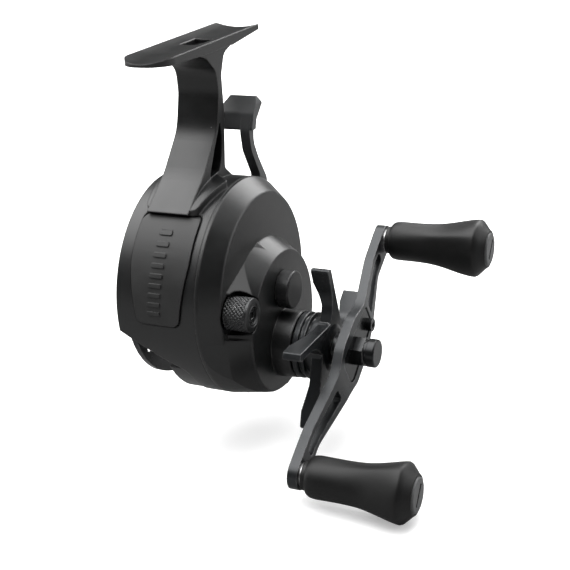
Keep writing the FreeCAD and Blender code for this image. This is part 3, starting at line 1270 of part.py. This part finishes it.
DIAL_BASE = 18.0
DIAL_RECESS = 1.4
KNURL_COUNT = 30
KNURL_HALF_ANGLE = 4.0
COLLAR_NEAR = 15.2


def make_brake_dial():
    """The knurled dial: a drum with grooves along it, a rim bevel and a screw recess."""
    dial = new_body("BrakeDial")
    recess_floor = dial_face - DIAL_RECESS
    revolve(dial, [(DIAL_BASE, 0), (recess_floor, 0), (recess_floor, 2.1), (dial_face, 2.3),
                   (dial_face, dial_radius - 0.7), (dial_face - 0.7, dial_radius),
                   (DIAL_BASE + 0.6, dial_radius), (DIAL_BASE, dial_radius - 0.6)])

    def knurl(sketch):
        valley, edge = dial_radius - 0.25, dial_radius + 0.2
        draw_outline(sketch, [polar(valley, 0.0), polar(edge, KNURL_HALF_ANGLE),
                              polar(edge, -KNURL_HALF_ANGLE)])
    groove_cut = pocket(dial, knurl, DIAL_BASE + 0.6, dial_face - 0.9)
    polar_copies(dial, groove_cut, KNURL_COUNT)
    place(dial, (0, dial_back, DIAL_UP))
    return finish(dial, "brake_dial")


def make_dial_screw():
    """The socket screw in the middle of the dial."""
    head = cylinder(dial_face - DIAL_RECESS, dial_face - 0.5, 1.9, dial_axis)
    socket = prism([(dial_back + ahead, up + DIAL_UP) for ahead, up in hexagon(1.8)],
                   dial_face - 1.1, dial_face)
    return finish(cut(head, socket), "dial_screw")


def make_brake_plunger():
    """The rod that the dial pushes, with a magnet head near the spool and a spring collar."""
    rod = cylinder(SHOE_FAR - 0.1, DIAL_BASE - 0.1, PLUNGER_RADIUS, dial_axis)
    shoe = cylinder(web_near + 0.2, SHOE_FAR, SHOE_RADIUS, dial_axis)
    collar = cylinder(COLLAR_NEAR, COLLAR_NEAR + 0.5, 2.6, dial_axis)
    return finish(join(rod, shoe, collar), "brake_plunger")


make_brake_dial()
make_dial_screw()
make_brake_plunger()
finish(coil_spring(radius=2.2, wire=0.25, length=6.2, turns=5, near=8.7, at=dial_axis), "brake_spring")

# ---------------------------------------------------------------------------------------------
# Cover screws
# ---------------------------------------------------------------------------------------------


def make_cover_screws():
    """Four screws through the frame's web into the cover's posts."""
    screws = []
    for angle in SCREW_ANGLES:
        at = polar(SCREW_CIRCLE, angle)
        head = cylinder(web_near + 0.05, web_near + 0.85, SCREW_HEAD_RADIUS, at)
        shank = cylinder(web_near + 0.8, 14.5, SCREW_CORE - 0.1, at)
        drive = cylinder(web_near - 1, web_near + 0.45, 0.9, at)
        screws.append(cut(join(head, shank), drive))
    return group("cover_screws", screws)


make_cover_screws()

# ---------------------------------------------------------------------------------------------
# Check and export
# ---------------------------------------------------------------------------------------------

doc.recompute()
for item in doc.Objects:
    if "Invalid" in item.State or "Error" in item.State:
        raise RuntimeError(f"{item.Label} failed: {item.State}")
for node in nodes:
    if node.Shape.isNull() or not node.Shape.isValid():
        raise RuntimeError(f"{node.Label} has no valid shape")
for node in nodes:
    node.Shape.exportStep(f"parts/{node.Label}.step")
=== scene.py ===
import bmesh
import bpy
import json
import math
from mathutils import Matrix, Vector


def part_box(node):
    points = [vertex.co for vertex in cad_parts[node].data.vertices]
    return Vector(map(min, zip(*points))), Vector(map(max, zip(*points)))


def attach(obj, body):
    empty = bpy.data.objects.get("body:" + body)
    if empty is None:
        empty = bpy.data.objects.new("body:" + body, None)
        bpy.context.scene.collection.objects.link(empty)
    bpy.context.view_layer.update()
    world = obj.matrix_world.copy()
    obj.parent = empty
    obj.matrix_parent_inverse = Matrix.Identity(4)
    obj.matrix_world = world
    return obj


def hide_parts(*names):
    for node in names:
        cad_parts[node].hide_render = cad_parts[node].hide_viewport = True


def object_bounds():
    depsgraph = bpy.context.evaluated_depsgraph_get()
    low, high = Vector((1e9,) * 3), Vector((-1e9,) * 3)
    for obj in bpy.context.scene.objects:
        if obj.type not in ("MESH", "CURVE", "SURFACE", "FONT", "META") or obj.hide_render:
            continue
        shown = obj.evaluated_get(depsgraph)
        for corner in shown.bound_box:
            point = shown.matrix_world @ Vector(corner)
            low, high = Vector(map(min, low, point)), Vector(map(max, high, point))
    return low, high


# Trigger reel: materials, soft and knurled pieces, floor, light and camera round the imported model.
# Metres throughout. +X runs along the spool axis to the crank, +Y forward, +Z up to the foot.

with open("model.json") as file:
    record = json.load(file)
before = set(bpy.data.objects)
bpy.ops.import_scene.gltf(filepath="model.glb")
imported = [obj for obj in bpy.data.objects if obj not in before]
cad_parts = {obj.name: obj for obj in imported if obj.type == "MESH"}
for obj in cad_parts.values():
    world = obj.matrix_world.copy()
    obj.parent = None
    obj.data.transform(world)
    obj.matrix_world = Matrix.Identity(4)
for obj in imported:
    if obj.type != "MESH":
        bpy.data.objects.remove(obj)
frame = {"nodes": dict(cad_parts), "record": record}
CAD_LOW, CAD_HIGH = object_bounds()
MM = 0.001


# ---------------------------------------------------------------------------------------------
# Node materials
# ---------------------------------------------------------------------------------------------

def add_node(tree, kind, inputs=None, **settings):
    """Add one shader node, set its options, and set or link its inputs."""
    made = tree.nodes.new(kind)
    for name, value in settings.items():
        setattr(made, name, value)
    for name, value in (inputs or {}).items():
        if isinstance(value, bpy.types.NodeSocket):
            tree.links.new(value, made.inputs[name])
        else:
            made.inputs[name].default_value = value
    return made


def noise(tree, where, size, detail=3.0):
    """Cloudy noise from 0 to 1 whose blobs are about `size` metres wide."""
    made = add_node(tree, "ShaderNodeTexNoise",
                    {"Vector": where, "Scale": 1.0 / size, "Detail": detail, "Roughness": 0.55})
    return made.outputs["Fac"]


def between(tree, value, low, high, to_low=0.0, to_high=1.0):
    """Map a value smoothly from one range to another."""
    made = add_node(tree, "ShaderNodeMapRange",
                    {"Value": value, "From Min": low, "From Max": high,
                     "To Min": to_low, "To Max": to_high}, interpolation_type="SMOOTHSTEP")
    return made.outputs["Result"]


def calculate(tree, operation, first, second=0.0):
    """One step of arithmetic on shader values."""
    made = add_node(tree, "ShaderNodeMath", {0: first, 1: second}, operation=operation)
    return made.outputs["Value"]


def blend_colours(tree, share, first, second):
    """The first colour where share is 0, the second where it is 1."""
    made = add_node(tree, "ShaderNodeMix", data_type="RGBA")
    for socket, value in ((made.inputs[0], share), (made.inputs[6], first), (made.inputs[7], second)):
        if isinstance(value, bpy.types.NodeSocket):
            tree.links.new(value, socket)
        else:
            socket.default_value = value
    return made.outputs[2]


def colour(grey, warm=0.0):
    """A near-neutral colour; warm above 0 leans to brown, below 0 to blue."""
    return (grey * (1 + warm), grey, grey * (1 - warm), 1.0)


DUST_APART = 2.4 * MM
DUST_COLOUR = colour(0.35)


def surface(name, base, rough, metal=0.0, mottle=0.12, mottle_size=7 * MM, grain=0.01 * MM,
            grain_size=0.35 * MM, edge=0.25 * MM, worn=None, wear=0.0, dust=0.0, brush=None,
            specular=0.5):
    """One finish: cloudy colour, uneven gloss, fine grain, soft edges, edge wear and dust."""
    material = bpy.data.materials.new(name)
    material.use_nodes = True
    tree = material.node_tree
    tree.nodes.clear()
    where = add_node(tree, "ShaderNodeTexCoord").outputs["Object"]
    cloud = noise(tree, where, mottle_size, 4.0)
    fine = noise(tree, where, grain_size, 2.0)
    darker = tuple(channel * (1 - mottle) for channel in base[:3]) + (1.0,)
    lighter = tuple(channel * (1 + mottle) for channel in base[:3]) + (1.0,)
    tint = blend_colours(tree, between(tree, cloud, 0.3, 0.7), darker, lighter)
    gloss = calculate(tree, "MULTIPLY_ADD", cloud, 0.16)
    gloss.node.inputs[2].default_value = rough - 0.08
    gloss = calculate(tree, "ADD", gloss, calculate(tree, "MULTIPLY", fine, 0.08))
    rounded = add_node(tree, "ShaderNodeBevel", {"Radius": edge}, samples=4).outputs["Normal"]
    flat = add_node(tree, "ShaderNodeNewGeometry").outputs["Normal"]
    facing = add_node(tree, "ShaderNodeVectorMath", {0: rounded, 1: flat}, operation="DOT_PRODUCT")
    sharp = between(tree, facing.outputs["Value"], 0.995, 0.86)
    if worn is not None:
        patchy = between(tree, noise(tree, where, 1.6 * MM, 4.0), 0.38, 0.62, 0.25, 1.0)
        rubbed = calculate(tree, "MULTIPLY", calculate(tree, "MULTIPLY", sharp, patchy), wear)
        tint = blend_colours(tree, rubbed, tint, worn)
        gloss = calculate(tree, "SUBTRACT", gloss, calculate(tree, "MULTIPLY", rubbed, 0.12))
    if dust > 0:
        cells = add_node(tree, "ShaderNodeTexVoronoi", {"Vector": where, "Scale": 1.0 / DUST_APART})
        spot = between(tree, cells.outputs["Distance"], 0.055, 0.03)
        chosen = between(tree, add_node(tree, "ShaderNodeSeparateColor",
                                        {0: cells.outputs["Color"]}).outputs[0], 1 - dust, 1.001 - dust)
        tint = blend_colours(tree, calculate(tree, "MULTIPLY", spot, chosen), tint, DUST_COLOUR)
    height = calculate(tree, "ADD", fine, calculate(tree, "MULTIPLY", cloud, 0.6))
    if brush is not None:
        height = calculate(tree, "ADD", height, brush(tree, where))
    bumped = add_node(tree, "ShaderNodeBump", {"Strength": 1.0, "Distance": grain, "Height": height,
                                               "Normal": rounded})
    shader = add_node(tree, "ShaderNodeBsdfPrincipled", {
        "Base Color": tint, "Roughness": gloss, "Metallic": metal, "Normal": bumped.outputs["Normal"],
        "Specular IOR Level": specular})
    output = add_node(tree, "ShaderNodeOutputMaterial")
    tree.links.new(shader.outputs["BSDF"], output.inputs["Surface"])
    return material


def turned_rings(pitch, drop=0.0):
    """Fine rings round an axis along X at height `drop`, as a lathe leaves them."""
    def rings(tree, where):
        apart = add_node(tree, "ShaderNodeSeparateXYZ", {0: where})
        up = calculate(tree, "ADD", apart.outputs["Z"], drop)
        reach = calculate(tree, "SQRT", calculate(tree, "ADD", calculate(tree, "POWER", up, 2.0),
                                                  calculate(tree, "POWER", apart.outputs["Y"], 2.0)))
        along = calculate(tree, "ADD", reach, apart.outputs["X"])
        streaks = add_node(tree, "ShaderNodeTexNoise", noise_dimensions="1D")
        tree.links.new(along, streaks.inputs["W"])
        streaks.inputs["Scale"].default_value = 1.0 / pitch
        return streaks.outputs["Fac"]
    return rings


def weave(pitch):
    """A two-over-two cloth pattern across the washer's face."""
    def threads(tree, where):
        apart = add_node(tree, "ShaderNodeSeparateXYZ", {0: where})
        across = calculate(tree, "SINE", calculate(tree, "MULTIPLY", apart.outputs["Y"], math.tau / pitch))
        upward = calculate(tree, "SINE", calculate(tree, "MULTIPLY", apart.outputs["Z"], math.tau / pitch))
        return calculate(tree, "MULTIPLY", calculate(tree, "MULTIPLY", across, upward), 3.0)
    return threads


DRIVE_DROP = -(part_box("drive_shaft")[0].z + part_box("drive_shaft")[1].z) / 2

FINISHES = {
    "composite_black": surface("composite_black", colour(0.009, -0.03), 0.30, grain=0.020 * MM,
                               grain_size=0.30 * MM, edge=0.6 * MM, worn=colour(0.06), wear=0.35,
                               dust=0.012),
    # Painted highlight: the trigger's base colour is lighter than the frame's black, standing in for the
    # light that falls on its paddle.
    "trigger_black": surface("trigger_black", colour(0.050, -0.03), 0.34, grain=0.012 * MM,
                             grain_size=0.28 * MM, worn=colour(0.10), wear=0.5),
    "pad_rubber": surface("pad_rubber", colour(0.018, 0.0), 0.46, grain=0.012 * MM,
                          grain_size=0.22 * MM, mottle=0.14, edge=0.25 * MM, dust=0.02, specular=0.45),
    "anodised_black": surface("anodised_black", colour(0.022, -0.08), 0.26, metal=0.4, edge=0.40 * MM,
                              grain=0.006 * MM, grain_size=0.16 * MM, worn=colour(0.38), wear=0.8),
    "cap_black": surface("cap_black", colour(0.025, -0.02), 0.28, metal=0.4, grain=0.006 * MM,
                         grain_size=0.2 * MM, worn=colour(0.22), wear=0.6,
                         brush=turned_rings(0.10 * MM)),
    "dial_metal": surface("dial_metal", colour(0.04, -0.02), 0.28, metal=0.7, grain=0.004 * MM,
                          grain_size=0.15 * MM, edge=0.08 * MM, worn=colour(0.55), wear=1.0),
    "steel": surface("steel", colour(0.50, 0.0), 0.30, metal=1.0, grain=0.004 * MM,
                     grain_size=0.12 * MM, worn=colour(0.7), wear=0.4,
                     brush=turned_rings(0.08 * MM, DRIVE_DROP)),
    "black_steel": surface("black_steel", colour(0.018, -0.04), 0.18, metal=0.6, grain=0.004 * MM,
                           grain_size=0.2 * MM, worn=colour(0.40), wear=0.8),
    "brass": surface("brass", (0.60, 0.42, 0.16, 1.0), 0.32, metal=1.0, grain=0.005 * MM,
                     grain_size=0.15 * MM, worn=(0.8, 0.62, 0.3, 1.0), wear=0.4,
                     brush=turned_rings(0.08 * MM, DRIVE_DROP)),
    "carbon": surface("carbon", colour(0.02), 0.42, grain=0.02 * MM, brush=weave(1.0 * MM)),
    "nylon": surface("nylon", colour(0.62, 0.03), 0.5, grain=0.006 * MM, grain_size=0.4 * MM),
    "grip_rubber": surface("grip_rubber", colour(0.006, 0.0), 0.42, grain=0.020 * MM,
                           grain_size=0.26 * MM, mottle=0.2, edge=0.3 * MM, dust=0.02, specular=0.30),
    "knob_cap_grey": surface("knob_cap_grey", colour(0.075, -0.02), 0.40, grain=0.008 * MM,
                             grain_size=0.2 * MM, worn=colour(0.30), wear=0.8),
}

SLOT_OF = {part["node"]: part["material_slot"] for part in frame["record"]["subparts"]}
# The spacer behind the crank is blackened steel, as the nut in front of it is.
SLOT_OF["crank_spacer"] = "black_steel"
for node_name, cad_object in frame["nodes"].items():
    cad_object.data.materials.clear()
    cad_object.data.materials.append(FINISHES[SLOT_OF[node_name]])


# ---------------------------------------------------------------------------------------------
# Soft grips and the knurled dial
# ---------------------------------------------------------------------------------------------

def middle_of(node):
    """The middle of a CAD node's box at rest."""
    low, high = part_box(node)
    return (Vector(low) + Vector(high)) / 2


def smooth_curve(points, steps):
    """More points along a smooth curve that passes through all the given ones."""
    result = []
    for index in range(len(points) - 1):
        before = Vector(points[max(index - 1, 0)])
        first, second = Vector(points[index]), Vector(points[index + 1])
        after = Vector(points[min(index + 2, len(points) - 1)])
        for step in range(steps):
            t = step / steps
            bend = (2 * before - 5 * first + 4 * second - after) * t * t
            bend += (3 * first - before - 3 * second + after) * t * t * t
            result.append((2 * first + (second - before) * t + bend) / 2)
    result.append(Vector(points[-1]))
    return result


def round_solid(name, rings, segments, at, reach, closed):
    """A solid round an axis along X: rings of (x, ring), whose radius at each angle is reach(ring, angle).

    A closed solid joins its last ring to its first, as a tube does; otherwise both ends get a flat cap."""
    mesh = bpy.data.meshes.new(name)
    work = bmesh.new()
    loops = []
    for ring in rings:
        loop = []
        for step in range(segments):
            angle = math.tau * step / segments
            radius = reach(ring, angle)
            loop.append(work.verts.new((ring[0], at.y + radius * math.cos(angle),
                                        at.z + radius * math.sin(angle))))
        loops.append(loop)
    pairs = list(zip(loops, loops[1:]))
    if closed:
        pairs.append((loops[-1], loops[0]))
    for near, far in pairs:
        for step in range(segments):
            following = (step + 1) % segments
            work.faces.new((near[step], near[following], far[following], far[step]))
    if not closed:
        work.faces.new(loops[0])
        work.faces.new(loops[-1])
    bmesh.ops.recalc_face_normals(work, faces=work.faces)
    for face in work.faces:
        face.smooth = True
    work.to_mesh(mesh)
    work.free()
    mesh.set_sharp_from_angle(angle=math.radians(38))
    piece = bpy.data.objects.new(name, mesh)
    bpy.context.scene.collection.objects.link(piece)
    return piece


GRIP_LOBES = 4
# Distance from the grip's near end, radius and lobe height, in millimetres.
GRIP_OUTSIDE = [(1.2, 4.5, 0.0), (1.5, 5.2, 0.0), (2.4, 5.75, 0.0), (4.2, 5.95, 0.0), (7.5, 5.95, 0.06),
                (11.0, 6.0, 0.18), (14.0, 6.15, 0.34), (17.0, 6.45, 0.52), (20.0, 7.0, 0.66),
                (23.0, 7.7, 0.72), (25.6, 8.3, 0.62), (27.4, 8.6, 0.45), (28.3, 8.65, 0.36)]
GRIP_END = [(28.9, 8.35, 0.26), (30.0, 7.15, 0.12), (31.1, 5.95, 0.0), (31.6, 5.55, 0.0)]
GRIP_BORE = [(31.6, 5.06, 0.0), (30.1, 5.06, 0.0), (30.1, 4.2, 0.0), (24.0, 4.2, 0.0), (24.0, 3.4, 0.0),
             (0.0, 3.4, 0.0), (0.0, 4.2, 0.0), (1.15, 4.2, 0.0)]


def make_grip(side, ridge_degrees):
    """A soft lobed grip in place of the plain one: round at the crank, four ridges at the head."""
    node = f"knob_grip_{side}"
    at = middle_of(node)
    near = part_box(node)[0][0]
    ridge = math.radians(ridge_degrees)
    outside = smooth_curve(GRIP_OUTSIDE, 4) + [Vector(point) for point in GRIP_END]
    profile = outside + [Vector(point) for point in GRIP_BORE]
    rings = [(near + point[0] * MM, point[1] * MM, point[2] * MM) for point in profile]

    def reach(ring, angle):
        scallop = math.sqrt(math.sin(GRIP_LOBES / 2 * (angle - ridge)) ** 2 + 0.015)
        return ring[1] + ring[2] * 1.6 * (0.6 - scallop)
    piece = round_solid(f"grip_{side}", rings, 128, at, reach, True)
    piece.data.materials.append(FINISHES["grip_rubber"])
    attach(piece, f"knob_{side}")
    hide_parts(node)


KNURLS_ROUND = 26
KNURL_DEPTH = 0.30 * MM
KNURL_STEPS_ALONG = 44
KNURL_STEPS_ROUND = 8


def make_dial():
    """The dial with a diamond knurl round it and a sunk middle for its screw."""
    at = middle_of("brake_dial")
    low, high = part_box("brake_dial")
    near, face = low[0], high[0]
    outer = (high[2] - low[2]) / 2
    pitch = math.tau * outer / KNURLS_ROUND
    start, end = near + 0.7 * MM, face - 0.95 * MM
    rings = [(near, outer - 0.6 * MM, 0.0), (near + 0.5 * MM, outer, 0.0)]
    rings += [(start + (end - start) * step / KNURL_STEPS_ALONG, outer, 1.0)
              for step in range(KNURL_STEPS_ALONG + 1)]
    rings += [(face - 0.75 * MM, outer, 0.0), (face - 0.25 * MM, outer - 0.12 * MM, 0.0),
              (face, outer - 0.55 * MM, 0.0), (face, 3.3 * MM, 0.0), (face - 0.12 * MM, 3.15 * MM, 0.0),
              (face - 0.12 * MM, 2.75 * MM, 0.0), (face, 2.6 * MM, 0.0), (face - 0.2 * MM, 2.3 * MM, 0.0),
              (face - 1.4 * MM, 2.1 * MM, 0.0)]

    def reach(ring, angle):
        if ring[2] == 0.0:
            return ring[1]
        along = (ring[0] - start) / pitch
        around = angle * KNURLS_ROUND / math.tau
        first, second = (around + along) % 1.0, (around - along) % 1.0
        groove = max(abs(2 * first - 1), abs(2 * second - 1))
        return ring[1] - KNURL_DEPTH * max(groove - 0.15, 0.0) / 0.85
    piece = round_solid("dial_knurled", rings, KNURLS_ROUND * KNURL_STEPS_ROUND, at, reach, False)
    piece.data.materials.append(FINISHES["dial_metal"])
    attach(piece, "brake_dial")
    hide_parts("brake_dial")


make_grip("upper", 139.4)
make_grip("lower", 109.8)
make_dial()


# ---------------------------------------------------------------------------------------------
# Floor, light and camera
# ---------------------------------------------------------------------------------------------

FLOOR_GLOW = 0.35


def floor_paper():
    """Pale paper that looks brighter to the camera than to the reel, so its shadows stay faint."""
    material = surface("floor_paper", colour(0.80), 0.8, mottle=0.01, mottle_size=60 * MM,
                       grain=0.02 * MM, grain_size=0.6 * MM, specular=0.1)
    tree = material.node_tree
    output = next(node for node in tree.nodes if node.type == "OUTPUT_MATERIAL")
    paper = output.inputs["Surface"].links[0].from_socket
    glow = add_node(tree, "ShaderNodeEmission", {"Strength": FLOOR_GLOW})
    bright = add_node(tree, "ShaderNodeAddShader", {0: paper, 1: glow.outputs["Emission"]})
    dim = add_node(tree, "ShaderNodeBsdfDiffuse", {"Color": colour(0.24)})
    seen = add_node(tree, "ShaderNodeLightPath").outputs["Is Camera Ray"]
    chosen = add_node(tree, "ShaderNodeMixShader",
                      {0: seen, 1: dim.outputs["BSDF"], 2: bright.outputs["Shader"]})
    tree.links.new(chosen.outputs["Shader"], output.inputs["Surface"])
    return material


def make_floor():
    """A wide pale sheet just under the lowest point of the reel."""
    half = 4.0
    mesh = bpy.data.meshes.new("floor")
    low = CAD_LOW.z - 0.02 * MM
    corners = [(-half, -half, low), (half, -half, low), (half, half, low), (-half, half, low)]
    mesh.from_pydata(corners, [], [(0, 1, 2, 3)])
    floor = bpy.data.objects.new("floor", mesh)
    bpy.context.scene.collection.objects.link(floor)
    mesh.materials.append(floor_paper())


def soft_light(name, towards, distance, size, power):
    """A square soft light that looks at the middle of the reel from a direction."""
    middle = (CAD_LOW + CAD_HIGH) / 2
    lamp = bpy.data.lights.new(name, "AREA")
    lamp.shape = "SQUARE"
    lamp.size = size
    lamp.energy = power
    holder = bpy.data.objects.new(name, lamp)
    direction = Vector(towards).normalized()
    holder.location = middle + direction * distance
    holder.rotation_mode = "QUATERNION"
    holder.rotation_quaternion = direction.to_track_quat("Z", "Y")
    bpy.context.scene.collection.objects.link(holder)


def make_world(faint, panels):
    """White surroundings that are faint all round and brighter in soft panels.

    Each panel is (direction, cosine at its edge, cosine at its full strength, strength)."""
    world = bpy.data.worlds.new("studio")
    world.use_nodes = True
    tree = world.node_tree
    looking = add_node(tree, "ShaderNodeTexCoord").outputs["Generated"]
    total = None
    for direction, edge, full, strength in panels:
        facing = add_node(tree, "ShaderNodeVectorMath", {0: looking, 1: Vector(direction).normalized()},
                          operation="DOT_PRODUCT")
        glow = between(tree, facing.outputs["Value"], edge, full, 0.0, strength)
        total = glow if total is None else calculate(tree, "ADD", total, glow)
    total = calculate(tree, "ADD", total, faint)
    # The camera sees plain white past the floor; only the reel sees the panels.
    seen = add_node(tree, "ShaderNodeLightPath").outputs["Is Camera Ray"]
    total = calculate(tree, "MAXIMUM", total, seen)
    background = tree.nodes["Background"]
    background.inputs["Color"].default_value = (1.0, 1.0, 1.0, 1.0)
    tree.links.new(total, background.inputs["Strength"])
    bpy.context.scene.world = world


CAMERA_AZIMUTH = math.radians(25.4)
CAMERA_ELEVATION = math.radians(21.43)
CAMERA_ROLL = math.radians(-3.33)
CAMERA_DISTANCE = 337.2 * MM
CAMERA_LENS = 74.63
AIM_OFFSET = Vector((-4.4, -5.7, -8.2)) * MM


def make_camera():
    """A camera that looks at the reel from behind, above and to the right."""
    camera = bpy.data.cameras.new("camera")
    camera.sensor_width = 36.0
    camera.lens = CAMERA_LENS
    camera.clip_start = 0.01
    camera.clip_end = 50.0
    holder = bpy.data.objects.new("camera", camera)
    aim = (CAD_LOW + CAD_HIGH) / 2 + AIM_OFFSET
    back = Vector((math.sin(CAMERA_AZIMUTH) * math.cos(CAMERA_ELEVATION),
                   -math.cos(CAMERA_AZIMUTH) * math.cos(CAMERA_ELEVATION),
                   math.sin(CAMERA_ELEVATION)))
    right = Vector((math.cos(CAMERA_AZIMUTH), math.sin(CAMERA_AZIMUTH), 0.0))
    up = back.cross(right)
    facing = Matrix((right, up, back)).transposed()
    turned = facing.to_4x4() @ Matrix.Rotation(CAMERA_ROLL, 4, "Z")
    holder.matrix_world = Matrix.Translation(aim + back * CAMERA_DISTANCE) @ turned
    bpy.context.scene.collection.objects.link(holder)
    bpy.context.scene.camera = holder


make_floor()
make_world(0.04, [((-0.30, -0.10, 1.0), 0.68, 0.97, 5.0), ((-0.95, -0.10, 0.25), 0.80, 0.98, 2.2),
                  ((0.90, 0.55, 0.40), 0.80, 0.98, 2.4)])
soft_light("top_light", (-0.15, 0.2, 1.0), 0.9, 0.9, 3.0)
soft_light("back_light", (0.10, 0.85, 0.60), 0.75, 0.5, 4.5)
make_camera()
bpy.context.scene.view_settings.view_transform = "Standard"
